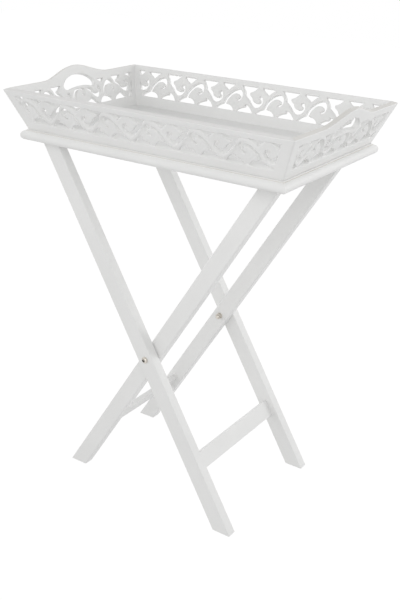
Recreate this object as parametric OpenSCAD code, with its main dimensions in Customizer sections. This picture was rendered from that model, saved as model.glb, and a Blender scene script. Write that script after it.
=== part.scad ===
// Folding tray stand: a carved openwork tray with two handle ends, resting on an X stand that
// folds about two pivot bolts. Lengths in millimetres, angles in degrees.
// X runs along the tray, Y across it, Z up from the floor; the origin is on the floor under
// the middle of the stand.

/* [Stand] */
// Overall depth across the outer legs
stand_depth = 284; // [240:1:320]
// Height of the leg tops, where the tray rests
stand_h = 637; // [580:1:700]
// Height of the pivot axis
pivot_h = 280; // [250:1:320]
// Distance of the leg tops from the ends of the tray base
top_inset = 47; // [40:1:60]
// Width of the leg stock, in the plane of the X
leg_w = 30; // [24:1:36]
// Thickness of the leg stock, across the stand
leg_t = 20; // [16:1:24]
// Chamfer along the edges of the legs
leg_chamfer = 1.2; // [0.4:0.1:2.5]

/* [Cross pieces] */
// Width of the lower stretchers, along the leg
stretcher_w = 30; // [20:1:40]
// Thickness of the lower stretchers
stretcher_t = 9; // [7:0.5:14]
// Distance of the stretchers below the pivot, along the leg
stretcher_drop = 204; // [170:1:230]
// Thickness of the top rails under the tray
rail_t = 12; // [9:0.5:14]
// Diameter of the dowels
dowel_d = 5; // [4:0.5:6]
// Length of the dowels
dowel_l = 24; // [16:1:30]
// Spacing of the two dowels at each end of a cross piece
dowel_pitch = 14; // [10:1:16]

/* [Pivot bolts] */
// Diameter of the bolts
bolt_d = 6; // [5:1:8]
// Diameter of the button head
head_d = 10.5; // [9:0.5:14]
// Height of the button head
head_h = 3.3; // [2.5:0.1:4.5]
// Width across the flats of the drive socket
socket_af = 4; // [3:0.5:5]
// Depth of the drive socket
socket_depth = 2; // [1:0.1:2.4]
// Outer diameter of the washers
washer_d = 12; // [11:0.5:16]
// Thickness of the washers, which also part the two frames
washer_t = 1.5; // [1:0.1:2]
// Width across the flats of the nuts
nut_af = 10; // [9:0.5:13]
// Thickness of the nuts
nut_t = 5; // [4:0.5:6.5]
// Length of thread past the nut
bolt_tail = 4; // [1:0.5:8]

/* [Tray base] */
// Length of the base over its nosing
base_l = 530; // [500:1:580]
// Width of the base over its nosing
base_w = 332; // [312:1:380]
// Thickness of the base
base_t = 19; // [15:1:24]
// Height of the fillet above the nosing
quirk_h = 1.6; // [1:0.1:3]
// Ledge between the edge of the nosing and the foot of the walls
wall_setback = 10; // [8:0.5:14]

/* [Tray walls] */
// Height of the walls, up their slope
wall_h = 76; // [72:1:90]
// Thickness of the walls
wall_t = 9; // [7:0.5:12]
// Flare of the walls from the vertical
wall_flare = 23.2; // [15:0.1:28]

/* [Handle ends] */
// Rise of the arched top above the wall
handle_rise = 20; // [14:1:30]
// Length of the arched top
handle_span = 184; // [150:1:210]
// Length of the hand hole
hole_l = 88; // [76:1:100]
// Height of the hand hole
hole_h = 27; // [24:1:30]
// Height of the hand hole above the foot of the wall, up the slope
hole_foot = 52; // [50:1:54]
// Plain band around the hand hole
hole_band = 7; // [4:0.5:9]

/* [Fretwork] */
// Length of one wave of the scroll
fret_period = 87; // [80:1:95]
// Height of the pierced band
fret_h = 50; // [44:1:52]
// Plain border below the pierced band
fret_foot = 16; // [13:1:20]
// Plain border at each end of the pierced band
fret_end = 20; // [16:1:26]
// How much lower the fret's band ends on the end walls
end_fret_drop = 4; // [2:0.5:6]

/* [Cleats] */
// Length of the two stop cleats under the tray
cleat_l = 150; // [100:1:180]
// Width of the cleats
cleat_w = 10; // [9:0.5:14]
// Height of the cleats
cleat_h = 8; // [6:0.5:12]
// Shank diameter of the cleat screws
screw_d = 3; // [2.5:0.5:3.5]
// Length of the cleat screws
screw_l = 20; // [16:1:22]
// Screws in each cleat
screw_count = 3; // [2:1:4]

/* [Hidden] */
$fn = 48;

// Clearances: bolt in its bores, washers and nuts on the bolt, dowels and screws in their
// holes, leg tops to cleats. cut_over is the overrun of every cut.
bolt_play = 0.08;
washer_play = 0.2;
nut_play = 0.05;
dowel_play = 0.05;
screw_play = 0.05;
cleat_play = 0.5;
cut_over = 1;

// Colours of the painted wood, the bare wood inside and the zinc hardware
paint = "#E6E5E1";
bare_wood = "#D8BE94";
zinc = "#B9BBBD";

// The stand
outer_y = (stand_depth - leg_t) / 2;
inner_y = outer_y - leg_t - washer_t;
outer_gap = stand_depth - 2 * leg_t;
inner_gap = outer_gap - 2 * (leg_t + washer_t);
top_x = base_l / 2 - top_inset;
leg_lean = atan(top_x / (stand_h - pivot_h));
leg_run = leg_w / cos(leg_lean);
rail_x = (stand_h - rail_t / 2 - pivot_h) * tan(leg_lean);
rail_w = leg_run - rail_t * tan(leg_lean) - 2 * leg_chamfer;
stack_l = 2 * leg_t + 3 * washer_t;

// The tray
base_top = stand_h + base_t;
nose_r = (base_t - quirk_h) / 2;
foot_l = base_l - 2 * wall_setback;
foot_w = base_w - 2 * wall_setback;
wall_lean = sin(wall_flare);
wall_reach = wall_h + handle_rise;
panel_over = wall_reach + wall_t;
bevel = wall_t * tan(wall_flare);
fret_top = fret_foot + fret_h;
long_dowels = 4;
end_dowels = 2;
cleat_x = top_x + leg_run / 2 + cleat_play + cleat_w / 2;
screw_head_d = 2 * screw_d;

// Outlines of the pierced openings, seen from outside: shares of the wave length and of the
// height of the band. A point that is given twice is a corner.
hanging_slot_shares = [
    [0.21, 1], [0.21, 1], [-0.2, 1], [-0.2, 1], [-0.11, 0.84], [-0.02, 0.76], [-0.02, 0.76],
    [-0.03, 0.67], [-0.1, 0.57], [-0.145, 0.45], [-0.225, 0.39], [-0.305, 0.43], [-0.32, 0.52],
    [-0.28, 0.57], [-0.265, 0.63], [-0.305, 0.68], [-0.355, 0.6], [-0.375, 0.44], [-0.32, 0.28],
    [-0.225, 0.23], [-0.12, 0.32], [-0.02, 0.51], [0.08, 0.64], [0.12, 0.8]
];
rising_slot_shares = [
    [0.74, 0], [0.74, 0], [0.29, 0], [0.29, 0], [0.33, 0.11], [0.41, 0.19], [0.5, 0.22],
    [0.5, 0.22], [0.48, 0.37], [0.425, 0.53], [0.35, 0.64], [0.26, 0.65], [0.2, 0.57],
    [0.22, 0.48], [0.265, 0.44], [0.24, 0.39], [0.18, 0.43], [0.145, 0.58], [0.17, 0.74],
    [0.25, 0.83], [0.36, 0.79], [0.46, 0.65], [0.54, 0.46], [0.58, 0.22], [0.58, 0.22], [0.67, 0.15]
];
top_gap_shares = [
    [-0.29, 1], [-0.29, 1], [-0.63, 1], [-0.63, 1], [-0.535, 0.85], [-0.475, 0.73],
    [-0.475, 0.73], [-0.43, 0.81], [-0.35, 0.9]
];
foot_gap_shares = [
    [0.225, 0], [0.225, 0], [-0.185, 0], [-0.185, 0], [-0.115, 0.16], [-0.03, 0.27],
    [-0.03, 0.27], [0.04, 0.29], [0.04, 0.29], [0.025, 0.21], [0.12, 0.15], [0.18, 0.09]
];
// Right half of the bean-shaped hand hole: shares of its half length and of its height
hole_shares = [
    [0.455, 0.89], [0.77, 0.65], [0.98, 0.32], [0.93, 0.05], [0.77, 0], [0.41, 0.095]
];
hole_top_share = [0, 1];
hole_dip_share = [0, 0.14];
// Where the wave of the scroll stands on the long walls and on the end walls
long_phase_share = 0;
end_phase_share = -0.25;
// Points per stretch of a curved outline, and along the arched top
curve_steps = 3;
arch_steps = 28;

// A point on the Catmull-Rom curve between b and c
function curve_point(a, b, c, d, t) =
    b + (t / 2) * ((c - a) + t * ((2 * a - 5 * b + 4 * c - d) + t * (3 * (b - c) + d - a)));

// A closed curve through the points of a list
function closed_curve(p) =
    let (n = len(p))
    [
        for (i = [0 : n - 1])
            let (
                a = p[(i + n - 1) % n],
                b = p[i],
                c = p[(i + 1) % n],
                d = p[(i + 2) % n],
                steps = (a == b && c == d) ? 1 : curve_steps
            )
            if (b != c)
                for (k = [0 : steps - 1])
                    curve_point(a, b, c, d, k / steps)
    ];

function sized(shares, w, h) = [for (s = shares) [s[0] * w, s[1] * h]];
function mirrored(points) = [for (i = [len(points) - 1 : -1 : 0]) [-points[i][0], points[i][1]]];

// The stand's two leaning planes: +1 leans towards +X, -1 towards -X
module leaning(side) {
    translate([0, 0, pivot_h])
        rotate([0, side * leg_lean, 0])
            children();
}

module leg_section() {
    w = leg_w / 2;
    t = leg_t / 2;
    c = leg_chamfer;
    polygon([
        [c - w, -t], [w - c, -t], [w, c - t], [w, t - c],
        [w - c, t], [c - w, t], [-w, t - c], [-w, c - t]
    ]);
}

module leg_bar(side, y) {
    reach = stand_h / cos(leg_lean) + leg_w;
    intersection() {
        leaning(side)
            translate([0, y, -reach])
                linear_extrude(2 * reach)
                    leg_section();
        translate([-reach, -stand_depth, 0])
            cube([2 * reach, 2 * stand_depth, stand_h]);
    }
}

// A round bar along Y, centred on the given place
module cross_bar(d, l) {
    rotate([90, 0, 0])
        cylinder(d = d, h = l, center = true);
}

module pivot_bore() {
    translate([0, 0, pivot_h])
        cross_bar(bolt_d + 2 * bolt_play, stand_depth + 2 * cut_over);
}

// The dowels of a lower stretcher, at both of its ends
module stretcher_pegs(side, gap, play) {
    leaning(side)
        for (end = [-1, 1], row = [-1, 1])
            translate([0, end * gap / 2, row * dowel_pitch / 2 - stretcher_drop])
                cross_bar(dowel_d + 2 * play, dowel_l + 2 * play);
}

// The dowels of a top rail, at both of its ends
module rail_pegs(side, gap, play) {
    for (end = [-1, 1], row = [-1, 1])
        translate([
            side * rail_x + row * dowel_pitch / 2,
            end * gap / 2,
            stand_h - rail_t / 2
        ])
            cross_bar(dowel_d + 2 * play, dowel_l + 2 * play);
}

module leg(side, y, gap) {
    color(paint)
        difference() {
            leg_bar(side, y);
            pivot_bore();
            stretcher_pegs(side, gap, dowel_play);
            rail_pegs(side, gap, dowel_play);
        }
}

module stretcher(side, gap) {
    color(paint)
        difference() {
            leaning(side)
                translate([0, 0, -stretcher_drop])
                    cube([stretcher_t, gap, stretcher_w], center = true);
            stretcher_pegs(side, gap, dowel_play);
        }
}

module top_rail(side, gap) {
    color(paint)
        difference() {
            translate([side * rail_x, 0, stand_h - rail_t / 2])
                cube([rail_w, gap, rail_t], center = true);
            rail_pegs(side, gap, dowel_play);
        }
}

module outer_leg_front() { leg(-1, -outer_y, outer_gap); }
module outer_leg_back() { leg(-1, outer_y, outer_gap); }
module outer_stretcher() { stretcher(-1, outer_gap); }
module outer_top_rail() { top_rail(-1, outer_gap); }
module outer_stretcher_dowels() { color(bare_wood) stretcher_pegs(-1, outer_gap, 0); }
module outer_rail_dowels() { color(bare_wood) rail_pegs(-1, outer_gap, 0); }
module inner_leg_front() { leg(1, -inner_y, inner_gap); }
module inner_leg_back() { leg(1, inner_y, inner_gap); }
module inner_stretcher() { stretcher(1, inner_gap); }
module inner_top_rail() { top_rail(1, inner_gap); }
module inner_stretcher_dowels() { color(bare_wood) stretcher_pegs(1, inner_gap, 0); }
module inner_rail_dowels() { color(bare_wood) rail_pegs(1, inner_gap, 0); }

// The pivot hardware stands on the outer face of a leg, z pointing away from the stand:
// -1 is the front of the stand, 1 the back
module at_pivot(side) {
    translate([0, side * stand_depth / 2, pivot_h])
        rotate([-side * 90, 0, 0])
            children();
}

module hexagon_bar(af, h) {
    cylinder(d = af / cos(30), h = h, $fn = 6);
}

module bolt_head() {
    dome_r = (pow(head_d / 2, 2) + pow(head_h, 2)) / (2 * head_h);
    difference() {
        intersection() {
            cylinder(d = head_d, h = head_h);
            translate([0, 0, head_h - dome_r])
                sphere(r = dome_r);
        }
        translate([0, 0, head_h - socket_depth])
            hexagon_bar(socket_af, socket_depth + cut_over);
    }
}

module pivot_bolt(side) {
    shank_l = stack_l + nut_t + bolt_tail;
    color(zinc)
        at_pivot(side)
            translate([0, 0, washer_t])
                union() {
                    bolt_head();
                    translate([0, 0, -shank_l])
                        cylinder(d = bolt_d, h = shank_l);
                }
}

module washer(side, z) {
    color(zinc)
        at_pivot(side)
            translate([0, 0, z])
                difference() {
                    cylinder(d = washer_d, h = washer_t);
                    translate([0, 0, -cut_over])
                        cylinder(d = bolt_d + 2 * washer_play, h = washer_t + 2 * cut_over);
                }
}

module nut(side) {
    color(zinc)
        at_pivot(side)
            translate([0, 0, washer_t - stack_l - nut_t])
                difference() {
                    hexagon_bar(nut_af, nut_t);
                    translate([0, 0, -cut_over])
                        cylinder(d = bolt_d + 2 * nut_play, h = nut_t + 2 * cut_over);
                }
}

module head_washer(side) { washer(side, 0); }
module spacer_washer(side) { washer(side, -leg_t - washer_t); }
module nut_washer(side) { washer(side, washer_t - stack_l); }

module front_pivot_bolt() { pivot_bolt(-1); }
module front_head_washer() { head_washer(-1); }
module front_spacer_washer() { spacer_washer(-1); }
module front_nut_washer() { nut_washer(-1); }
module front_nut() { nut(-1); }
module back_pivot_bolt() { pivot_bolt(1); }
module back_head_washer() { head_washer(1); }
module back_spacer_washer() { spacer_washer(1); }
module back_nut_washer() { nut_washer(1); }
module back_nut() { nut(1); }

// A wall's own frame: x along the wall seen from outside, y up its slope, z out of its face
module at_wall(turn, reach) {
    rotate([0, 0, turn])
        translate([0, -reach, base_top])
            rotate([90 + wall_flare, 0, 0])
                children();
}

module on_front() { at_wall(0, foot_w / 2) children(); }
module on_right() { at_wall(90, foot_l / 2) children(); }
module on_back() { at_wall(180, foot_w / 2) children(); }
module on_left() { at_wall(270, foot_l / 2) children(); }

module opening(shares) {
    polygon(closed_curve(sized(shares, fret_period, fret_h)));
}

module one_wave() {
    opening(hanging_slot_shares);
    opening(rising_slot_shares);
    opening(top_gap_shares);
    opening(foot_gap_shares);
}

// The pierced band of a wall whose foot has the given length, up to the given height
module fret(length, top, phase_share) {
    waves = ceil(length / fret_period / 2);
    lower_x = length / 2 + fret_foot * wall_lean - fret_end;
    upper_x = length / 2 + top * wall_lean - fret_end;
    intersection() {
        polygon([
            [-lower_x, fret_foot], [lower_x, fret_foot], [upper_x, top], [-upper_x, top]
        ]);
        for (i = [-waves : waves])
            translate([(i + phase_share) * fret_period, fret_foot])
                one_wave();
    }
}

// The hand hole, grown all round by a band
module hand_hole(band) {
    right = sized(hole_shares, hole_l / 2 + band, hole_h + 2 * band);
    top = sized([hole_top_share], hole_l, hole_h + 2 * band);
    dip = sized([hole_dip_share], hole_l, hole_h + 2 * band);
    translate([0, hole_foot - band])
        polygon(closed_curve(concat(top, right, dip, mirrored(right))));
}

module plain_panel(length) {
    translate([-length / 2 - panel_over, -bevel - cut_over])
        square([length + 2 * panel_over, wall_h + bevel + cut_over]);
}

module arched_top() {
    half = handle_span / 2;
    polygon([
        [half, 0],
        for (i = [0 : arch_steps])
            let (x = half - i * handle_span / arch_steps)
            [x, wall_h + handle_rise * (1 + cos(180 * x / half)) / 2],
        [-half, 0]
    ]);
}

module long_panel() {
    difference() {
        plain_panel(foot_l);
        fret(foot_l, fret_top, long_phase_share);
    }
}

module end_panel() {
    difference() {
        union() {
            plain_panel(foot_w);
            arched_top();
        }
        difference() {
            fret(foot_w, fret_top - end_fret_drop, end_phase_share);
            hand_hole(hole_band);
        }
        hand_hole(0);
    }
}

// Trims a wall level at its foot and mitres its ends, in the frame of the front wall
module trimmed(length, reach) {
    inner = wall_t / cos(wall_flare) + cut_over;
    outer = panel_over;
    intersection() {
        children();
        translate([0, -reach, base_top])
            linear_extrude(wall_reach + wall_t)
                polygon([
                    [inner - length / 2, inner], [length / 2 - inner, inner],
                    [length / 2 + outer, -outer], [-length / 2 - outer, -outer]
                ]);
    }
}

// The dowels that seat a wall on the base
module wall_pegs(length, count, play) {
    for (i = [1 : count])
        translate([
            (i / count - 1 / 2 - 1 / count / 2) * length,
            -bevel / 2,
            -wall_t / 2
        ])
            rotate([90, 0, 0])
                cylinder(d = dowel_d + 2 * play, h = dowel_l + 2 * play, center = true);
}

module long_wall() {
    color(paint)
        difference() {
            trimmed(foot_l, foot_w / 2)
                on_front()
                    translate([0, 0, -wall_t])
                        linear_extrude(wall_t)
                            long_panel();
            on_front()
                wall_pegs(foot_l, long_dowels, dowel_play);
        }
}

module end_wall() {
    color(paint)
        difference() {
            trimmed(foot_w, foot_l / 2)
                at_wall(0, foot_l / 2)
                    translate([0, 0, -wall_t])
                        linear_extrude(wall_t)
                            end_panel();
            at_wall(0, foot_l / 2)
                wall_pegs(foot_w, end_dowels, dowel_play);
        }
}

module front_wall() { long_wall(); }
module back_wall() { rotate([0, 0, 180]) long_wall(); }
module right_end_wall() { rotate([0, 0, 90]) end_wall(); }
module left_end_wall() { rotate([0, 0, 270]) end_wall(); }

module all_wall_pegs(play) {
    on_front() wall_pegs(foot_l, long_dowels, play);
    on_back() wall_pegs(foot_l, long_dowels, play);
    on_right() wall_pegs(foot_w, end_dowels, play);
    on_left() wall_pegs(foot_w, end_dowels, play);
}

module wall_dowels() { color(bare_wood) all_wall_pegs(0); }

// Section of the base: a half-round nosing with a square fillet above it
module nosed_section(length) {
    square([length - 2 * nose_r, base_t], center = true);
    for (end = [-1, 1])
        translate([end * (length / 2 - nose_r), -quirk_h / 2])
            circle(r = nose_r);
}

// Countersunk screws, driven up through the cleats into the base
module screws(side, play) {
    for (i = [1 : screw_count])
        translate([
            side * cleat_x,
            (i / screw_count - 1 / 2 - 1 / screw_count / 2) * cleat_l,
            stand_h - cleat_h
        ]) {
            cylinder(d = screw_d + 2 * play, h = screw_l + play);
            cylinder(d1 = screw_head_d + 2 * play, d2 = screw_d + 2 * play, h = screw_d / 2 + play);
        }
}

module tray_base() {
    color(paint)
        difference() {
            translate([0, 0, stand_h + base_t / 2])
                intersection() {
                    rotate([90, 0, 0])
                        linear_extrude(base_w, center = true)
                            nosed_section(base_l);
                    rotate([90, 0, 90])
                        linear_extrude(base_l, center = true)
                            nosed_section(base_w);
                }
            all_wall_pegs(dowel_play);
            screws(-1, screw_play);
            screws(1, screw_play);
        }
}

module cleat(side) {
    color(paint)
        difference() {
            translate([side * cleat_x, 0, stand_h - cleat_h / 2])
                cube([cleat_w, cleat_l, cleat_h], center = true);
            screws(side, screw_play);
        }
}

module left_cleat() { cleat(-1); }
module right_cleat() { cleat(1); }

module cleat_screws() {
    color(zinc) {
        screws(-1, 0);
        screws(1, 0);
    }
}

tray_base();
front_wall();
back_wall();
left_end_wall();
right_end_wall();
wall_dowels();
left_cleat();
right_cleat();
cleat_screws();
outer_leg_front();
outer_leg_back();
outer_stretcher();
outer_top_rail();
outer_stretcher_dowels();
outer_rail_dowels();
front_pivot_bolt();
front_head_washer();
front_spacer_washer();
front_nut_washer();
front_nut();
back_pivot_bolt();
back_head_washer();
back_spacer_washer();
back_nut_washer();
back_nut();
inner_leg_front();
inner_leg_back();
inner_stretcher();
inner_top_rail();
inner_stretcher_dowels();
inner_rail_dowels();
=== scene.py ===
"""Looks of the folding tray stand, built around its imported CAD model.

Lengths are millimetres until MM turns them into metres. X runs along the tray, Y from the front
legs to the back legs, Z up from the floor.
"""

import math

import bpy
import numpy as np
from mathutils import Matrix


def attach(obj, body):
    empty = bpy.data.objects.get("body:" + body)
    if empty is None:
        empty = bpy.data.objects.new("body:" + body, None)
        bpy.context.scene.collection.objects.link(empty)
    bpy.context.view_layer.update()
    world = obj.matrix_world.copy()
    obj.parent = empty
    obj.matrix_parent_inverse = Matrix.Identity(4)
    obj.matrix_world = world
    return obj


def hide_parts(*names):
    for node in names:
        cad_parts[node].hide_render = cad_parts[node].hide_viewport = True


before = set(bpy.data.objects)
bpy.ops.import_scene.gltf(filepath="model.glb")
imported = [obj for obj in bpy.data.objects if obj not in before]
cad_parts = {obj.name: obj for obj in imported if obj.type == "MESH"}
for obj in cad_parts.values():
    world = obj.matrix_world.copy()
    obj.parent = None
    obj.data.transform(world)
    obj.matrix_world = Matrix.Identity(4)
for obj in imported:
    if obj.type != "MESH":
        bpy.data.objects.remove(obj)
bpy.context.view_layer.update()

MM = 0.001

# Sizes, as in the part's source
STAND_DEPTH, STAND_H, PIVOT_H = 284.0, 637.0, 280.0
LEG_W, LEG_T, TOP_X = 30.0, 20.0, 218.0
BASE_L, BASE_W, BASE_T, WALL_SETBACK = 530.0, 332.0, 19.0, 10.0
WALL_H, WALL_T, WALL_FLARE = 76.0, 9.0, math.radians(23.2)
HANDLE_RISE, HANDLE_SPAN = 20.0, 184.0
HOLE_L, HOLE_H, HOLE_FOOT, HOLE_BAND = 88.0, 27.0, 52.0, 7.0
WAVE, FRET_H, FRET_FOOT, FRET_END, END_FRET_DROP = 87.0, 50.0, 16.0, 20.0, 4.0
BOLT_D, HEAD_D, HEAD_H, SOCKET_AF, SOCKET_DEPTH = 6.0, 10.5, 3.3, 4.0, 2.0
WASHER_D, WASHER_T, WASHER_BORE = 12.0, 1.5, 6.4
NUT_AF, NUT_T, BOLT_TAIL = 10.0, 5.0, 4.0
CLEAT_W, CLEAT_H, CLEAT_L, CLEAT_PLAY = 10.0, 8.0, 150.0, 0.5
SCREW_D, SCREW_L, SCREW_COUNT = 3.0, 20.0, 3

LEG_LEAN = math.atan(TOP_X / (STAND_H - PIVOT_H))
BASE_TOP = STAND_H + BASE_T
FOOT_L, FOOT_W = BASE_L - 2 * WALL_SETBACK, BASE_W - 2 * WALL_SETBACK
STACK_L = 2 * LEG_T + 3 * WASHER_T

# Openings of one wave of the scroll, seen from outside: shares of the wave and of the band's
# height. A point that is given twice is a corner.
HANGING_SLOT = [
    (0.21, 1), (0.21, 1), (-0.2, 1), (-0.2, 1), (-0.11, 0.84), (-0.02, 0.76), (-0.02, 0.76),
    (-0.03, 0.67), (-0.1, 0.57), (-0.145, 0.45), (-0.225, 0.39), (-0.305, 0.43), (-0.32, 0.52),
    (-0.28, 0.57), (-0.265, 0.63), (-0.305, 0.68), (-0.355, 0.6), (-0.375, 0.44), (-0.32, 0.28),
    (-0.225, 0.23), (-0.12, 0.32), (-0.02, 0.51), (0.08, 0.64), (0.12, 0.8),
]
RISING_SLOT = [
    (0.74, 0), (0.74, 0), (0.29, 0), (0.29, 0), (0.33, 0.11), (0.41, 0.19), (0.5, 0.22),
    (0.5, 0.22), (0.48, 0.37), (0.425, 0.53), (0.35, 0.64), (0.26, 0.65), (0.2, 0.57),
    (0.22, 0.48), (0.265, 0.44), (0.24, 0.39), (0.18, 0.43), (0.145, 0.58), (0.17, 0.74),
    (0.25, 0.83), (0.36, 0.79), (0.46, 0.65), (0.54, 0.46), (0.58, 0.22), (0.58, 0.22),
    (0.67, 0.15),
]
TOP_GAP = [
    (-0.29, 1), (-0.29, 1), (-0.63, 1), (-0.63, 1), (-0.535, 0.85), (-0.475, 0.73),
    (-0.475, 0.73), (-0.43, 0.81), (-0.35, 0.9),
]
FOOT_GAP = [
    (0.225, 0), (0.225, 0), (-0.185, 0), (-0.185, 0), (-0.115, 0.16), (-0.03, 0.27),
    (-0.03, 0.27), (0.04, 0.29), (0.04, 0.29), (0.025, 0.21), (0.12, 0.15), (0.18, 0.09),
]
# Half of the hand hole's outline: shares of half its length and of its height
HOLE_SIDE = [(0.455, 0.89), (0.77, 0.65), (0.98, 0.32), (0.93, 0.05), (0.77, 0), (0.41, 0.095)]
HOLE_TOP, HOLE_DIP = (0, 1), (0, 0.14)
# Phase of the scroll along the long walls and along the end walls, in waves
LONG_PHASE, END_PHASE = 0, -0.25

# Steps of the outlines and of the walls' grid, how far a point may miss its edge, and how many
# distances are worked out at a time
SLOT_STEPS, HOLE_STEPS, ARCH_POINTS = 4, 8, 57
GRID, EDGE_MISS, BATCH = WAVE / 96, 0.05, 4_000_000
# Carving: stem, leaves with the share of wave and height where they root, recess, rounded edges,
# joint grooves and corners
STEM_MIDDLE, STEM_RISE, STEM_HALF, STEM_CROWN = 42.5, 19.0, 3.75, 0.8
LEAF_ROOT, LEAF_DISH, LEAF_DEPTH = (0.2, 0.02), 3.0, 0.5
VEIN_COUNT, VEIN_DEPTH, VEIN_POWER = 13, 0.5, 0.6
RECESS_DEPTH, RECESS_SLOPE = 0.9, 1.2
EASE, FRET_EASE, BACK_EASE, JOINT_DEPTH, CORNER_R = 0.8, 1.4, 0.7, 0.35, 2.5

# Hardware: angles round a turned piece, thread, rounded and chamfered edges
ANGLES = np.linspace(0, 2 * np.pi, 96, endpoint=False)
THREAD_PITCH, THREAD_DEPTH, THREAD_L, THREAD_STEPS = 1.0, 0.55, 12.0, 10
HEAD_EASE, HEAD_RIM, DOME_STEPS = 0.3, 0.4, 10
SOCKET_LIP, SOCKET_CHAMFER, SOCKET_POINT, SOCKET_POINT_SHARE = 0.25, 0.55, 0.4, 0.2
WASHER_EASE, WASHER_EASE_STEPS = 0.45, 5
NUT_PLAY, NUT_LIP, NUT_CONE_H, NUT_CONE_STEPS = 0.05, 0.4, 0.6, 7
NUT_CONE_SHARE, NUT_CONE_SLOPE = 0.98, 1.9
SCREW_TIP_R, SCREW_POINT, SCREW_EASE, SCREW_LAND = 0.15, 3.0, 0.1, 0.25
# A screw's recess: mean radius and swing of its lobes in screw diameters, then its floor, as
# shares of the mouth's radius and depths in screw diameters
RECESS_LOBES, RECESS_R, RECESS_SWING = 4, 0.3, 0.22
RECESS_FLOOR = (0.75, 0.4), (0.2, 0.5)

# Edges sharper than this stay crisp
CRISP_ANGLE = math.radians(40)

# Colours of the materials, each from its darker to its lighter patches, and the part of a noise
# that the patches span
PAINT_COLOURS, PAINT_SPAN = ("#EDEDEC", "#F1F1F0"), (0.3, 0.7)
ZINC_COLOURS, ZINC_SPAN = ("#BFB9B0", "#DED9D1"), (0.25, 0.75)
BEECH_COLOURS, BEECH_SPAN = ("#B98F5F", "#DCC096"), (0.3, 0.6)
# Painted shade: a darker line in the nosing's groove, a darker tone on the up-facing top edges of the
# long walls and the end walls, and a dark ring in the bolts' sockets
QUIRK_SHADE, LONG_EDGE_SHADE, END_EDGE_SHADE, SOCKET_SHADE = "#CEC6B9", "#EAE9E8", "#E3E1DD", "#2B261F"
# Roughness, from the lower to the higher parts of a noise
PAINT_ROUGH, ZINC_ROUGH, BEECH_ROUGH = (0.36, 0.50), (0.22, 0.42), (0.55, 0.7)
# Patterns: lengths, widths, and strengths and depths of their bumps
STROKE_L, STROKE_W, STROKE_BUMP, STROKE_DEPTH = 40.0, 1.5, 0.05, 0.10
PEEL_W, PEEL_BUMP, PEEL_DEPTH = 2.0, 0.04, 0.08
PAINT_PATCH_W, PAINT_IOR = 90.0, 1.5
SCRATCH_W, SCRATCH_BUMP, SCRATCH_DEPTH, ZINC_PATCH_W = 0.3, 0.15, 0.03, 4.0
FLECK_L, FLECK_W = 6.0, 0.6
# Groove of the nosing, measured from the base's edge, and how far the painted shade spreads on either
# side of a socket's wall
QUIRK_INSET, QUIRK_W, SOCKET_SHADE_SPREAD = 7.4, 0.9, 0.7
# Upward part of the normal where the painted shade on a wall's top edge starts and where it is full
EDGE_SHADE_FACING = 0.55, 0.8

# Light of a white sweep from right, left, back, front and above, blended by the squared cosine of
# the angle off each
SWEEP_LIGHT = (
    ((1, 0, 0), 0.68), ((-1, 0, 0), 1.5), ((0, 1, 0), 1.6), ((0, -1, 0), 1.02), ((0, 0, 1), 0.27),
)
# The floor: its light on the object, its size in metres, and what the camera sees of it, a white
# glow with a faint matt part that shows the shadow
FLOOR_LIGHT, FLOOR_SIZE, FLOOR_GLOW, FLOOR_MATT = 0.57, 12.0, 0.9, 0.16
# Lamps: place and size in metres, watts, and the point that they look at
LAMPS = (("side", (1.5, 1.4, 0.8), 1.5, 6.6), ("key", (1.2, -1.8, 1.5), 1.0, 7.0))
LAMP_AIM = (0, 0, 0.45)

# The photograph's view: azimuth, elevation and roll in degrees, distance and target in metres,
# focal length, image centre and picture in pixels, sensor in millimetres
AZIMUTH, ELEVATION, ROLL = (math.radians(a) for a in (34.96, 18.09, 1.61))
DISTANCE, TARGET = 1.7216, np.array([-0.0560, 0, 0.4978])
FOCAL_PX, CENTRE_PX, PICTURE_PX = 943.22, (169.22, 215.87), (400, 600)
SENSOR_W = 36


# Meshes

def make_piece(name, points, faces, material, body, stands_for):
    """A mesh piece from millimetre points, smooth but for its crisp edges, on one of the bodies."""
    mesh = bpy.data.meshes.new(name)
    mesh.from_pydata((np.asarray(points) * MM).tolist(), [], faces)
    mesh.validate()
    mesh.shade_smooth()
    mesh.set_sharp_from_angle(angle=CRISP_ANGLE)
    mesh.materials.append(material)
    piece = bpy.data.objects.new(name, mesh)
    bpy.context.scene.collection.objects.link(piece)
    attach(piece, body)
    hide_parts(*stands_for)


# Carved walls

def closed_curve(points, steps):
    """A closed Catmull-Rom curve: on each stretch the cubic through its two ends, with the slope
    at an end half the step between its neighbours."""
    b = np.array(points, float)
    a, c, d = np.roll(b, 1, 0), np.roll(b, -1, 0), np.roll(b, -2, 0)
    t = (np.arange(steps) / steps)[:, None, None]
    curve = b + t / 2 * ((c - a) + t * ((2 * a - 5 * b + 4 * c - d) + t * (3 * (b - c) + d - a)))
    straight = (a == b).all(1) & (c == d).all(1)
    keep = np.tile(~(b == c).all(1), (steps, 1))
    keep[1:] &= ~straight
    return np.swapaxes(curve, 0, 1)[keep.T]


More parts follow.
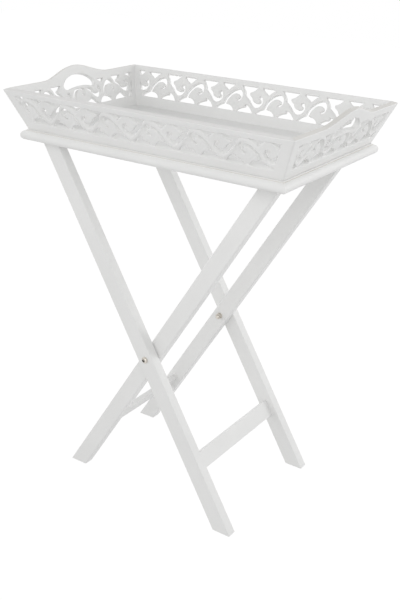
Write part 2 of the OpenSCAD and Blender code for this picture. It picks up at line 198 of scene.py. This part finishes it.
def field_of(points, loops):
    """Signed distance to closed outlines, above zero inside them, and the nearest outline point:
    the least distance to all their straight stretches, with the sign from the crossings of a
    level ray."""
    start = np.concatenate(loops)
    along = np.concatenate([np.roll(loop, -1, 0) for loop in loops]) - start
    slope = along[:, 0] / np.where(along[:, 1] == 0, 1, along[:, 1])
    values, nearest = [], []
    for p in np.array_split(points, max(1, len(points) * len(start) // BATCH)):
        to = p[:, None] - start
        share = np.clip((to * along).sum(-1) / (along ** 2).sum(-1), 0, 1)
        gap = ((to - share[..., None] * along) ** 2).sum(-1)
        low = gap.argmin(1)
        rows = np.arange(len(p))
        crossing = (to[..., 1] < 0) != (to[..., 1] - along[:, 1] < 0)
        inside = (crossing & (to[..., 0] < slope * to[..., 1])).sum(1) % 2 == 1
        values.append(np.sqrt(gap[rows, low]) * np.where(inside, 1, -1))
        nearest.append(start[low] + share[rows, low, None] * along[low])
    return np.concatenate(values), np.concatenate(nearest)


def lowest(*fields):
    """Where several fields hold at once: at each point the field with the lowest value."""
    values = np.stack([f[0] for f in fields])
    pick = values.argmin(0)
    rows = np.arange(values.shape[1])
    return values[pick, rows], np.stack([f[1] for f in fields])[pick, rows]


def outside(field):
    """What a field leaves out: its value with the other sign, and the same nearest points."""
    return -field[0], field[1]


def hand_hole(band):
    """Outline of the bean-shaped hand hole, grown all round by a band."""
    size = np.array([HOLE_L / 2 + band, HOLE_H + 2 * band])
    side = np.array(HOLE_SIDE)
    shares = np.concatenate([[HOLE_TOP], side, [HOLE_DIP], side[::-1] * (-1, 1)])
    return closed_curve(shares * size, HOLE_STEPS) + (0, HOLE_FOOT - band)


def panel_outline(length, rise):
    """Outline of a wall's outer face: a level foot, flared ends and a level top that swells into a
    cosine arch of the given rise."""
    reach = length / 2 + WALL_H * math.sin(WALL_FLARE)
    x = np.linspace(HANDLE_SPAN / 2, -HANDLE_SPAN / 2, ARCH_POINTS)
    arch = WALL_H + rise * (1 + np.cos(2 * np.pi * x / HANDLE_SPAN)) / 2
    ends = [(-length / 2, 0), (length / 2, 0), (reach, WALL_H)]
    return np.concatenate([ends, np.stack([x, arch], 1), [(-reach, WALL_H)]])


def wall_fields(points, length, phase, rise):
    """The solid face and the fret's recess of one wall, as signed distances. The face is the panel
    less the scroll's openings within the recess; a wall that rises also has its hand hole."""
    top = FRET_FOOT + FRET_H - (END_FRET_DROP if rise else 0)
    lower = length / 2 + FRET_FOOT * math.sin(WALL_FLARE) - FRET_END
    upper = lower + (top - FRET_FOOT) * math.sin(WALL_FLARE)
    frame_loop = np.array([(-lower, FRET_FOOT), (lower, FRET_FOOT), (upper, top), (-upper, top)])
    wave = [closed_curve(np.array(slot) * (WAVE, FRET_H), SLOT_STEPS)
            for slot in (HANGING_SLOT, RISING_SLOT, TOP_GAP, FOOT_GAP)]
    loops = [loop + (k * WAVE, FRET_FOOT) for loop in wave for k in (-1, 0, 1)]
    shift = np.round(points[:, 0] / WAVE - phase) + phase
    local = points - np.stack([shift * WAVE, 0 * shift], 1)
    value, nearest = field_of(local, loops)
    scroll = value, nearest + points - local
    recess = field_of(points, [frame_loop])
    if rise:
        recess = lowest(recess, outside(field_of(points, [hand_hole(HOLE_BAND)])))
    panel = field_of(points, [panel_outline(length, rise)])
    solid = lowest(panel, outside(lowest(scroll, recess)))
    if rise:
        solid = lowest(solid, outside(field_of(points, [hand_hole(0)])))
    return solid, recess


def carved_relief(points, edge, ease, recess, phase):
    """Depth of the carving below a wall's outer face. The fret lies a little below the borders, its
    stem is a round bar along v = middle + rise sin(2 pi x / wave), and the leaves are dished and
    scored with veins that fan out from their roots; every edge is rounded over. The leaves above
    the stem are those below it, turned over and moved on by half a wave."""
    wave_x = points[:, 0] / WAVE - phase
    turn = 2 * np.pi * wave_x
    slope = STEM_RISE * 2 * np.pi / WAVE * np.cos(turn)
    off = (points[:, 1] - STEM_MIDDLE - STEM_RISE * np.sin(turn)) / np.sqrt(1 + slope ** 2)
    bar = np.clip(1 - (off / STEM_HALF) ** 2, 0, 1)
    away = np.clip((np.abs(off) - STEM_HALF) / LEAF_DISH, 0, 1)
    upper = off > 0
    local = wave_x + np.where(upper, 0.5, 0)
    height = (points[:, 1] - FRET_FOOT) / FRET_H
    root_x = (local - np.round(local - LEAF_ROOT[0]) - LEAF_ROOT[0]) * WAVE
    root_v = (np.where(upper, 1 - height, height) - LEAF_ROOT[1]) * FRET_H
    veins = np.abs(np.sin(VEIN_COUNT * np.arctan2(root_v, root_x))) ** VEIN_POWER
    depth = RECESS_DEPTH - STEM_CROWN * np.sqrt(bar)
    depth = depth + away * (LEAF_DEPTH + VEIN_DEPTH * (1 - veins))
    carved = depth * np.clip(recess / RECESS_SLOPE, 0, 1)
    lip = np.clip(1 - edge / ease, 0, 1)
    return carved + ease * (1 - np.sqrt(1 - lip ** 2))


def wall_grid(length, phase, rise):
    """Points of a square grid over a wall's face, their distances from its edges and inside the
    fret's recess, and the grid's cells. Points within half a step of an edge move onto it, cells
    in the openings are left out, and cells that keep three points become triangles."""
    half = math.ceil((length / 2 + WALL_H * math.sin(WALL_FLARE)) / GRID) + 1
    columns, rows = 2 * half + 1, math.ceil((WALL_H + rise) / GRID) + 3
    x, v = np.meshgrid((np.arange(columns) - half) * GRID, (np.arange(rows) - 1) * GRID)
    points = np.stack([x.ravel(), v.ravel()], 1)
    (value, nearest), (recess, _) = wall_fields(points, length, phase, rise)
    on = np.abs(value) < GRID / 2
    points[on] = nearest[on]
    for _ in range(2):
        (gap, nearest), (recess[on], _) = wall_fields(points[on], length, phase, rise)
        points[on] = np.where(np.abs(gap)[:, None] > EDGE_MISS, nearest, points[on])
    edge = np.where(on, 0, value)
    state = np.where(on, 0, np.sign(value))
    corner = np.arange(rows * columns).reshape(rows, columns)
    cells = np.stack([corner[:-1, :-1], corner[:-1, 1:], corner[1:, 1:], corner[1:, :-1]], -1)
    cells = cells.reshape(-1, 4)
    held = state[cells] >= 0
    mean = np.where(held, value[cells], 0).sum(1)
    inner = (state[cells] > 0).any(1) | (mean > 0)
    quads = cells[held.all(1) & inner]
    short = (held.sum(1) == 3) & inner
    lost = (~held[short]).argmax(1)
    order = (lost[:, None] + (1, 2, 3)) % 4
    return points, edge, recess, quads, np.take_along_axis(cells[short], order, 1)


def carved_wall(length, phase, rise):
    """Points and faces of one wall in its own frame: x along it, y up its slope, z out of its face.
    The outer points of its grid sink by the relief, by a groove at the joints and by the rounded
    corners. The inner points lie one thickness behind, with the mitred ends and the level foot
    drawn in. Sides join the two along every edge that only one cell has."""
    points, edge, recess, quads, triangles = wall_grid(length, phase, rise)
    flare = math.sin(WALL_FLARE)
    end_gap = length / 2 + points[:, 1] * flare - np.abs(points[:, 0])
    mitre_gap = end_gap / math.hypot(1, flare)
    joint = np.minimum(mitre_gap, points[:, 1])
    panel_gap, _ = field_of(points, [panel_outline(length, rise)])
    ease = np.where(edge < panel_gap - EDGE_MISS, FRET_EASE, EASE)
    edge = np.maximum(np.where(edge < joint - EDGE_MISS, edge, edge + EASE), 0)
    groove = JOINT_DEPTH * np.clip(1 - joint / GRID, 0, 1)
    bend = math.acos(flare ** 2) / 2
    tangent = CORNER_R * math.tan(bend)
    angle = bend * np.clip(1 - mitre_gap / tangent, 0, 1)
    inward = np.where(angle > 0, tangent - CORNER_R * np.sin(angle) - mitre_gap, 0)
    relief = carved_relief(points, edge, ease, recess, phase)
    outer = np.column_stack([
        points[:, 0] - np.sign(points[:, 0]) * (inward * math.hypot(1, flare)),
        points[:, 1],
        -relief - groove - CORNER_R * (1 - np.cos(angle)),
    ])
    near_end = np.clip(1 - end_gap / (FRET_END - GRID), 0, 1)
    near_foot = np.clip(1 - points[:, 1] / (FRET_FOOT - GRID), 0, 1)
    lip = np.clip(1 - edge / BACK_EASE, 0, 1)
    mitre = math.cos(WALL_FLARE) + near_foot * flare * math.tan(WALL_FLARE)
    back = np.column_stack([
        points[:, 0] - np.sign(points[:, 0]) * near_end * WALL_T * mitre,
        points[:, 1] - near_foot * WALL_T * math.tan(WALL_FLARE),
        BACK_EASE * (1 - np.sqrt(1 - lip ** 2)) - WALL_T,
    ])
    count = len(points)
    ends = np.concatenate([np.stack([f, np.roll(f, -1, 1)], -1).reshape(-1, 2)
                           for f in (quads, triangles)])
    rim = ends[~np.isin(ends[:, 0] * count + ends[:, 1], ends[:, 1] * count + ends[:, 0])]
    sides = np.stack([rim[:, 1], rim[:, 0], rim[:, 0] + count, rim[:, 1] + count], 1)
    faces = [*quads, *triangles, *(quads[:, ::-1] + count), *(triangles[:, ::-1] + count), *sides]
    used, numbers = np.unique(np.concatenate([f.ravel() for f in faces]), return_inverse=True)
    cuts = np.cumsum([len(f) for f in faces])[:-1]
    faces = [f.tolist() for f in np.split(numbers, cuts)]
    return np.concatenate([outer, back])[used], faces


def stand_wall(points, reach, quarter):
    """A wall's own points set on the base: leaned out by the flare, then turned by quarter turns."""
    x, v, out = points.T
    s, c = math.sin(WALL_FLARE), math.cos(WALL_FLARE)
    y = -reach - v * s - out * c
    z = BASE_TOP + v * c - out * s
    turns = {0: (x, y), 1: (-y, x), 2: (-x, -y), 3: (y, -x)}
    return np.stack([*turns[quarter], z], 1)


# Pivot hardware and screws

def hexagon(across_flats):
    """Radius of a hexagon at each angle: half its width over the cosine of the angle off a flat."""
    off = (ANGLES + np.pi / 6) % (np.pi / 3) - np.pi / 6
    return across_flats / 2 / np.cos(off)


def grid_faces(rows, columns):
    """Quads of a grid that is closed along its columns, wound so that rising rows turn left."""
    r, c = np.meshgrid(np.arange(rows - 1), np.arange(columns), indexing="ij")
    after = (c + 1) % columns
    quads = [r * columns + c, r * columns + after, (r + 1) * columns + after, (r + 1) * columns + c]
    return np.stack(quads, -1).reshape(-1, 4).tolist()


def round_piece(rows, ring=False):
    """A turned piece about z from rows of (radius, height), each a number or one value per angle.
    An open piece gets flat ends; a ring closes on itself."""
    spread = np.ones_like(ANGLES)
    radii = np.stack([r * spread for r, _ in rows])
    heights = np.stack([h * spread for _, h in rows])
    points = np.stack([radii * np.cos(ANGLES), radii * np.sin(ANGLES), heights], -1).reshape(-1, 3)
    count = len(ANGLES)
    if ring:
        faces = grid_faces(len(rows) + 1, count)
        return points, (np.array(faces) % len(points)).tolist()
    last = len(points) - count
    caps = [list(range(count))[::-1], list(range(last, last + count))]
    return points, grid_faces(len(rows), count) + caps


def bolt_shape():
    """A button-head bolt about z, its seat at the washer: a chamfered end, a thread whose depth
    follows a triangle wave of height over pitch less the turn, a plain shank, a domed head and a
    hexagonal socket."""
    seat, radius = WASHER_T, BOLT_D / 2
    end = seat - STACK_L - NUT_T - BOLT_TAIL
    heights = np.arange(end + THREAD_PITCH / 2, end + THREAD_L, THREAD_PITCH / THREAD_STEPS)
    run_in = np.clip((heights - end) / THREAD_PITCH, 0, 1)
    run_out = np.clip((end + THREAD_L - heights) / THREAD_PITCH, 0, 1)
    phase = (heights[:, None] / THREAD_PITCH - ANGLES / (2 * np.pi)) % 1
    thread = radius - (run_in * run_out)[:, None] * THREAD_DEPTH * np.abs(2 * phase - 1)
    rows = [(radius - THREAD_DEPTH, end), *zip(thread, heights)]
    rows += [(radius, end + THREAD_L + THREAD_PITCH), (radius, seat)]
    rows += [(HEAD_D / 2 - HEAD_EASE, seat), (HEAD_D / 2, seat + HEAD_EASE)]
    dome = (HEAD_D ** 2 / 4 + HEAD_H ** 2) / (2 * HEAD_H)
    top = seat + HEAD_H
    socket = hexagon(SOCKET_AF)
    for share in np.linspace(1, 0, DOME_STEPS):
        r = socket + SOCKET_LIP + (HEAD_D / 2 - socket - SOCKET_LIP) * share
        rows.append((r, np.maximum(top - dome + np.sqrt(dome ** 2 - r ** 2), seat + HEAD_RIM)))
    rows += [(socket, top - SOCKET_CHAMFER), (socket, top - SOCKET_DEPTH)]
    rows.append((socket * SOCKET_POINT_SHARE, top - SOCKET_DEPTH - SOCKET_POINT))
    return round_piece(rows)


def washer_shape(bottom):
    """A flat ring with its outer edges rounded over."""
    bore, rim, e = WASHER_BORE / 2, WASHER_D / 2, WASHER_EASE
    turn = np.linspace(0, np.pi / 2, WASHER_EASE_STEPS)
    low = [(rim - e + e * math.sin(a), bottom + e - e * math.cos(a)) for a in turn]
    high = [(rim - e + e * math.cos(a), bottom + WASHER_T - e + e * math.sin(a)) for a in turn]
    return round_piece([(bore, bottom), *low, *high, (bore, bottom + WASHER_T)], ring=True)


def nut_shape(bottom):
    """A hexagon whose corners are cut by a cone at both ends: at each height the radius is the
    smaller of the hexagon's and the cone's."""
    flat, bore, top = NUT_AF / 2, BOLT_D / 2 + NUT_PLAY, bottom + NUT_T
    cone = np.linspace(0, NUT_CONE_H, NUT_CONE_STEPS)
    depth = np.concatenate([cone, [NUT_T / 2], NUT_T - cone[::-1]])
    near_end = np.minimum(depth, NUT_T - depth)
    sides = [(np.minimum(hexagon(NUT_AF), flat * NUT_CONE_SHARE + n * NUT_CONE_SLOPE), bottom + d)
             for n, d in zip(near_end, depth)]
    rows = [(bore, bottom + NUT_LIP), (bore + NUT_LIP, bottom), *sides]
    rows += [(bore + NUT_LIP, top), (bore, top - NUT_LIP)]
    return round_piece(rows, ring=True)


def screw_shape():
    """A countersunk screw about z, its head face at zero: a pointed shank, a conical head and a
    recess with lobes, whose radius swings with the cosine of the angle times their count."""
    lobes = SCREW_D * (RECESS_R + RECESS_SWING * np.cos(RECESS_LOBES * ANGLES))
    rows = [(SCREW_TIP_R, -SCREW_L), (SCREW_D / 2, SCREW_POINT - SCREW_L), (SCREW_D / 2, -SCREW_D / 2)]
    rows += [(SCREW_D - SCREW_EASE, -SCREW_EASE), (SCREW_D - SCREW_LAND, 0)]
    rows += [(lobes + SCREW_EASE, 0), (lobes, -SCREW_EASE)]
    rows += [(lobes * share, -SCREW_D * depth) for share, depth in RECESS_FLOOR]
    return round_piece(rows)


def at_pivot(points, side):
    """Hardware points set on a leg's outer face: -1 at the front of the stand, 1 at its back."""
    x, y, z = points.T
    return np.stack([x, side * (STAND_DEPTH / 2 + z), PIVOT_H - side * y], 1)


# Materials

def linear(colour):
    """An sRGB hex colour as linear red, green, blue and a full alpha."""
    parts = [int(colour[i:i + 2], 16) / 255 for i in (1, 3, 5)]
    return [p / 12.92 if p <= 0.04045 else ((p + 0.055) / 1.055) ** 2.4 for p in parts] + [1]


def add(tree, kind, values=None, links=None, **settings):
    """Adds a node, with its settings, its sockets' values and the links into it."""
    node = tree.nodes.new(kind)
    for key, value in settings.items():
        setattr(node, key, value)
    for key, value in (values or {}).items():
        node.inputs[key].default_value = value
    for key, socket in (links or {}).items():
        tree.links.new(socket, node.inputs[key])
    return node


def surface(name):
    """An empty material, its node tree, its Object coordinates in metres and its shader."""
    material = bpy.data.materials.new(name)
    material.use_nodes = True
    tree = material.node_tree
    place = add(tree, "ShaderNodeTexCoord").outputs["Object"]
    return material, tree, place, tree.nodes["Principled BSDF"]


def patchy(tree, noise, span, colours):
    """A colour that goes from the darker to the lighter one as a noise goes through its span."""
    tone = add(tree, "ShaderNodeMapRange", {"From Min": span[0], "From Max": span[1]},
               {"Value": noise.outputs["Fac"]})
    return add(tree, "ShaderNodeMix", {6: linear(colours[0]), 7: linear(colours[1])},
               {0: tone.outputs["Result"]}, data_type="RGBA").outputs[2]


def finish_surface(tree, shader, colour, noise, rough):
    """Gives a shader its colour and a roughness that follows a noise."""
    tree.links.new(colour, shader.inputs["Base Color"])
    gloss = add(tree, "ShaderNodeMapRange", {"To Min": rough[0], "To Max": rough[1]},
                {"Value": noise.outputs["Fac"]})
    tree.links.new(gloss.outputs["Result"], shader.inputs["Roughness"])


def quirk_shade_mask(tree, place):
    """Where shade is painted as a line in the fine groove round the nosing: one just outside the base's
    flat top, else zero. The distance from the base's nearest edge is the groove's, within half its width,
    on the upper side."""
    parts = add(tree, "ShaderNodeSeparateXYZ", links={0: place}).outputs
    gaps = []
    for part, length in (("X", BASE_L), ("Y", BASE_W)):
        off = add(tree, "ShaderNodeMath", links={0: parts[part]}, operation="ABSOLUTE").outputs[0]
        gap = add(tree, "ShaderNodeMath", {0: length / 2 * MM}, {1: off}, operation="SUBTRACT")
        gaps.append(gap.outputs[0])
    inset = add(tree, "ShaderNodeMath", links={0: gaps[0], 1: gaps[1]}, operation="MINIMUM").outputs[0]
    groove = add(tree, "ShaderNodeMath", {1: QUIRK_INSET * MM, 2: QUIRK_W / 2 * MM}, {0: inset},
                 operation="COMPARE").outputs[0]
    upper = add(tree, "ShaderNodeMath", {1: (BASE_TOP - BASE_T / 2) * MM}, {0: parts["Z"]},
                operation="GREATER_THAN").outputs[0]
    return add(tree, "ShaderNodeMath", links={0: groove, 1: upper}, operation="MULTIPLY").outputs[0]


def top_edge_shade(tree, place):
    """How much painted shade a point on a wall's top edge gets, zero to one: how squarely its surface
    faces up, from the walls' straight top upward."""
    normal = add(tree, "ShaderNodeTexCoord").outputs["Normal"]
    facing = add(tree, "ShaderNodeSeparateXYZ", links={0: normal}).outputs["Z"]
    facing = add(tree, "ShaderNodeMapRange", {"From Min": EDGE_SHADE_FACING[0], "From Max": EDGE_SHADE_FACING[1]},
                 {"Value": facing}).outputs["Result"]
    height = add(tree, "ShaderNodeSeparateXYZ", links={0: place}).outputs["Z"]
    start = BASE_TOP + (WALL_H - EASE) * math.cos(WALL_FLARE)
    above = add(tree, "ShaderNodeMath", {1: start * MM}, {0: height}, operation="GREATER_THAN").outputs[0]
    return add(tree, "ShaderNodeMath", links={0: facing, 1: above}, operation="MULTIPLY").outputs[0]


def satin_paint(name, turn=(0, 0, 0), quirk_shade=False, edge=None):
    """Satin white alkyd paint, brushed on primed board. It gives an off-white with hardly any change of
    tone, soft broad highlights, faint strokes along the piece, 1.5 mm apart and 40 mm long, and a fine
    orange peel of about 2 mm. Where it has a quirk, shade is painted as a darker line in the groove. On a
    wall's top edge, shade is painted a little darker where the surface faces up, most of all on the end
    walls."""
    material, tree, place, shader = surface(name)
    stroke = (STROKE_L * MM, STROKE_W * MM, STROKE_W * MM)
    along = add(tree, "ShaderNodeMapping", {"Rotation": turn, "Scale": stroke}, {"Vector": place},
                vector_type="TEXTURE")
    strokes = add(tree, "ShaderNodeTexNoise", {"Scale": 1, "Detail": 2, "Roughness": 0.5},
                  {"Vector": along.outputs["Vector"]})
    peel = add(tree, "ShaderNodeTexNoise", {"Scale": 1 / (PEEL_W * MM), "Detail": 1}, {"Vector": place})
    patches = add(tree, "ShaderNodeTexNoise", {"Scale": 1 / (PAINT_PATCH_W * MM), "Detail": 3},
                  {"Vector": place})
    colour = patchy(tree, patches, PAINT_SPAN, PAINT_COLOURS)
    # Painted shade: a darker line in the nosing's groove
    if quirk_shade:
        colour = add(tree, "ShaderNodeMix", {7: linear(QUIRK_SHADE)},
                     {0: quirk_shade_mask(tree, place), 6: colour}, data_type="RGBA").outputs[2]
    # Painted shade: a darker tone on the walls' up-facing top edges
    if edge:
        colour = add(tree, "ShaderNodeMix", {7: linear(edge)},
                     {0: top_edge_shade(tree, place), 6: colour}, data_type="RGBA").outputs[2]
    finish_surface(tree, shader, colour, strokes, PAINT_ROUGH)
    coarse = add(tree, "ShaderNodeBump", {"Strength": STROKE_BUMP, "Distance": STROKE_DEPTH * MM},
                 {"Height": strokes.outputs["Fac"]})
    fine = add(tree, "ShaderNodeBump", {"Strength": PEEL_BUMP, "Distance": PEEL_DEPTH * MM},
               {"Height": peel.outputs["Fac"], "Normal": coarse.outputs["Normal"]})
    tree.links.new(fine.outputs["Normal"], shader.inputs["Normal"])
    shader.inputs["IOR"].default_value = PAINT_IOR
    return material


def socket_shade_mask(tree, place):
    """Where shade is painted in a bolt's socket: one on the socket's walls and round its mouth, else
    zero. The distance from the pivot line is about the socket's, outside the legs."""
    across = add(tree, "ShaderNodeVectorMath", {1: (1, 0, 1), 2: (0, 0, -PIVOT_H * MM)}, {0: place},
                 operation="MULTIPLY_ADD").outputs["Vector"]
    radius = add(tree, "ShaderNodeVectorMath", links={0: across}, operation="LENGTH").outputs["Value"]
    ring = add(tree, "ShaderNodeMath", {1: SOCKET_AF / 2 * MM, 2: SOCKET_SHADE_SPREAD * MM}, {0: radius},
               operation="COMPARE").outputs[0]
    along = add(tree, "ShaderNodeSeparateXYZ", links={0: place}).outputs["Y"]
    along = add(tree, "ShaderNodeMath", links={0: along}, operation="ABSOLUTE").outputs[0]
    head = add(tree, "ShaderNodeMath", {1: (STAND_DEPTH / 2 + WASHER_T) * MM}, {0: along},
               operation="GREATER_THAN").outputs[0]
    return add(tree, "ShaderNodeMath", links={0: ring, 1: head}, operation="MULTIPLY").outputs[0]


def bright_zinc(name):
    """Zinc plate on turned steel with a faint yellow passivation: a warm grey mirror, dulled by fine
    scratches 0.3 mm apart and by cloudy patches of about 4 mm. Shade is painted dark on the walls of the
    bolts' sockets."""
    material, tree, place, shader = surface(name)
    patches = add(tree, "ShaderNodeTexNoise", {"Scale": 1 / (ZINC_PATCH_W * MM), "Detail": 3},
                  {"Vector": place})
    scratch = add(tree, "ShaderNodeTexNoise", {"Scale": 1 / (SCRATCH_W * MM), "Detail": 1},
                  {"Vector": place})
    colour = patchy(tree, patches, ZINC_SPAN, ZINC_COLOURS)
    # Painted shade: a dark ring in the bolts' sockets
    colour = add(tree, "ShaderNodeMix", {7: linear(SOCKET_SHADE)},
                 {0: socket_shade_mask(tree, place), 6: colour}, data_type="RGBA").outputs[2]
    finish_surface(tree, shader, colour, patches, ZINC_ROUGH)
    bump = add(tree, "ShaderNodeBump", {"Strength": SCRATCH_BUMP, "Distance": SCRATCH_DEPTH * MM},
               {"Height": scratch.outputs["Fac"]})
    tree.links.new(bump.outputs["Normal"], shader.inputs["Normal"])
    shader.inputs["Metallic"].default_value = 1
    return material


def beech(name):
    """Plain beech dowel rod: a pale tan with darker flecks, 0.6 mm wide and 6 mm long."""
    material, tree, place, shader = surface(name)
    grain = add(tree, "ShaderNodeMapping", {"Scale": (FLECK_W * MM, FLECK_L * MM, FLECK_W * MM)},
                {"Vector": place}, vector_type="TEXTURE")
    fleck = add(tree, "ShaderNodeTexNoise", {"Scale": 1, "Detail": 3},
                {"Vector": grain.outputs["Vector"]})
    finish_surface(tree, shader, patchy(tree, fleck, BEECH_SPAN, BEECH_COLOURS), fleck, BEECH_ROUGH)
    return material


ACROSS, LEG_TURN = (0, 0, math.pi / 2), math.pi / 2 - LEG_LEAN
paint_base = satin_paint("satin_white_paint_base", quirk_shade=True)
paint_across = satin_paint("satin_white_paint_across", ACROSS)
# The walls' paints carry painted shade on their up-facing top edges
paint_wall = satin_paint("satin_white_paint_long_walls", edge=LONG_EDGE_SHADE)
paint_end = satin_paint("satin_white_paint_end_walls", ACROSS, edge=END_EDGE_SHADE)
paint_outer = satin_paint("satin_white_paint_outer_legs", (0, LEG_TURN, 0))
paint_inner = satin_paint("satin_white_paint_inner_legs", (0, -LEG_TURN, 0))
zinc = bright_zinc("bright_zinc_plate")
dowel_wood = beech("beech_dowel")

# Carved walls of the tray
for nodes, length, phase, rise, reach, quarters, material in (
    (("front_wall", "back_wall"), FOOT_L, LONG_PHASE, 0, FOOT_W / 2, (0, 2), paint_wall),
    (("right_end_wall", "left_end_wall"), FOOT_W, END_PHASE, HANDLE_RISE, FOOT_L / 2, (1, 3), paint_end),
):
    points, faces = carved_wall(length, phase, rise)
    for node, quarter in zip(nodes, quarters):
        placed = stand_wall(points, reach, quarter)
        make_piece("carved_" + node, placed, faces, material, "tray", [node])

# Pivot hardware
for end, side in (("front", -1), ("back", 1)):
    for part, (points, faces) in {
        "pivot_bolt": bolt_shape(),
        "head_washer": washer_shape(0),
        "spacer_washer": washer_shape(-LEG_T - WASHER_T),
        "nut_washer": washer_shape(WASHER_T - STACK_L),
        "nut": nut_shape(WASHER_T - STACK_L - NUT_T),
    }.items():
        node = f"{end}_{part}"
        placed = at_pivot(points, side)
        make_piece("zinc_" + node, placed, faces, zinc, "outer_frame", [node])

# Cleat screws
screw_points, screw_faces = screw_shape()
cleat_x = TOP_X + LEG_W / 2 / math.cos(LEG_LEAN) + CLEAT_PLAY + CLEAT_W / 2
spots = [(side * cleat_x, (i - (SCREW_COUNT - 1) / 2) * CLEAT_L / SCREW_COUNT)
         for side in (-1, 1) for i in range(SCREW_COUNT)]
placed = np.concatenate([screw_points * (1, -1, -1) + (x, y, STAND_H - CLEAT_H) for x, y in spots])
faces = [[v + k * len(screw_points) for v in f] for k in range(len(spots)) for f in screw_faces]
make_piece("countersunk_cleat_screws", placed, faces, zinc, "tray", ["cleat_screws"])

# Materials of the CAD nodes: the first word that is in a node's name gives its material
for node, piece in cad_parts.items():
    piece.data.materials.clear()
    piece.data.materials.append(next(material for word, material in (
        ("dowels", dowel_wood), ("bolt", zinc), ("washer", zinc), ("nut", zinc), ("screw", zinc),
        ("outer_leg", paint_outer), ("inner_leg", paint_inner), ("stretcher", paint_across),
        ("rail", paint_across), ("cleat", paint_across), ("end_wall", paint_end),
        ("wall", paint_wall), ("tray_base", paint_base),
    ) if word in node))


# Stage, light and camera

def plain_sight(tree):
    """One for what the camera sees, directly, in a reflection or through glass, else zero."""
    path = add(tree, "ShaderNodeLightPath").outputs
    seen = add(tree, "ShaderNodeMath", links={0: path["Is Camera Ray"], 1: path["Is Glossy Ray"]},
               operation="MAXIMUM").outputs[0]
    return add(tree, "ShaderNodeMath", links={0: seen, 1: path["Is Transmission Ray"]},
               operation="MAXIMUM").outputs[0]


def aimed(place, target):
    """Matrix of a lamp at a place, looking at a target."""
    back = (np.array(place) - target) / np.linalg.norm(np.array(place) - target)
    side = np.cross((0, 0, 1), back)
    side = side / np.linalg.norm(side)
    matrix = np.eye(4)
    matrix[:3] = np.stack([side, np.cross(back, side), back, place], 1)
    return Matrix(matrix.tolist())


WHITE = (1, 1, 1, 1)
scene = bpy.context.scene
scene.view_settings.view_transform = "Standard"
world = bpy.data.worlds.new("soft_white_studio")
scene.world = world
world.use_nodes = True
tree = world.node_tree
tree.nodes.clear()
direction = add(tree, "ShaderNodeTexCoord").outputs["Generated"]
level = None
for side, strength in SWEEP_LIGHT:
    off = add(tree, "ShaderNodeVectorMath", {1: side}, {0: direction}, operation="DOT_PRODUCT")
    off = add(tree, "ShaderNodeMath", {1: 0}, {0: off.outputs["Value"]}, operation="MAXIMUM").outputs[0]
    share = add(tree, "ShaderNodeMath", links={0: off, 1: off}, operation="MULTIPLY").outputs[0]
    total = {0: share, 2: level} if level else {0: share}
    level = add(tree, "ShaderNodeMath", {1: strength, 2: 0}, total, operation="MULTIPLY_ADD").outputs[0]
lit = add(tree, "ShaderNodeBackground", {"Color": WHITE}, {"Strength": level})
white = add(tree, "ShaderNodeBackground", {"Color": WHITE, "Strength": 1})
mixed = add(tree, "ShaderNodeMixShader",
            links={0: plain_sight(tree), 1: lit.outputs[0], 2: white.outputs[0]})
add(tree, "ShaderNodeOutputWorld", links={"Surface": mixed.outputs[0]})

floor_mesh = bpy.data.meshes.new("floor")
corners = np.array([(-1, -1, 0), (1, -1, 0), (1, 1, 0), (-1, 1, 0)]) * FLOOR_SIZE / 2
floor_mesh.from_pydata(corners.tolist(), [], [(0, 1, 2, 3)])
floor = bpy.data.objects.new("floor", floor_mesh)
scene.collection.objects.link(floor)
paper = bpy.data.materials.new("white_paper_sweep")
paper.use_nodes = True
tree = paper.node_tree
tree.nodes.clear()
cast = add(tree, "ShaderNodeEmission", {"Color": WHITE, "Strength": FLOOR_LIGHT})
matt = add(tree, "ShaderNodeBsdfDiffuse", {"Color": (FLOOR_MATT, FLOOR_MATT, FLOOR_MATT, 1)})
glow = add(tree, "ShaderNodeEmission", {"Color": WHITE, "Strength": FLOOR_GLOW})
shown = add(tree, "ShaderNodeAddShader", links={0: matt.outputs[0], 1: glow.outputs[0]})
mixed = add(tree, "ShaderNodeMixShader",
            links={0: plain_sight(tree), 1: cast.outputs[0], 2: shown.outputs[0]})
add(tree, "ShaderNodeOutputMaterial", links={"Surface": mixed.outputs[0]})
floor_mesh.materials.append(paper)

for name, spot, size, watts in LAMPS:
    lamp = bpy.data.lights.new(name, "AREA")
    lamp.size, lamp.energy = size, watts
    light = bpy.data.objects.new(name, lamp)
    light.matrix_world = aimed(spot, LAMP_AIM)
    scene.collection.objects.link(light)

level_part = math.cos(ELEVATION)
back = np.array([math.sin(AZIMUTH) * level_part, -math.cos(AZIMUTH) * level_part, math.sin(ELEVATION)])
right = np.array([math.cos(AZIMUTH), math.sin(AZIMUTH), 0])
up = np.cross(back, right)
view = np.eye(4)
view[:3] = np.stack([
    math.cos(ROLL) * right + math.sin(ROLL) * up,
    math.cos(ROLL) * up - math.sin(ROLL) * right,
    back,
    TARGET + back * DISTANCE,
], 1)
lens = bpy.data.cameras.new("photo_view")
lens.sensor_width = SENSOR_W
long_side = max(PICTURE_PX)
lens.lens = FOCAL_PX / long_side * SENSOR_W
lens.shift_x = (PICTURE_PX[0] / 2 - CENTRE_PX[0]) / long_side
lens.shift_y = (CENTRE_PX[1] - PICTURE_PX[1] / 2) / long_side
camera = bpy.data.objects.new("photo_view", lens)
camera.matrix_world = Matrix(view.tolist())
scene.collection.objects.link(camera)
scene.camera = camera
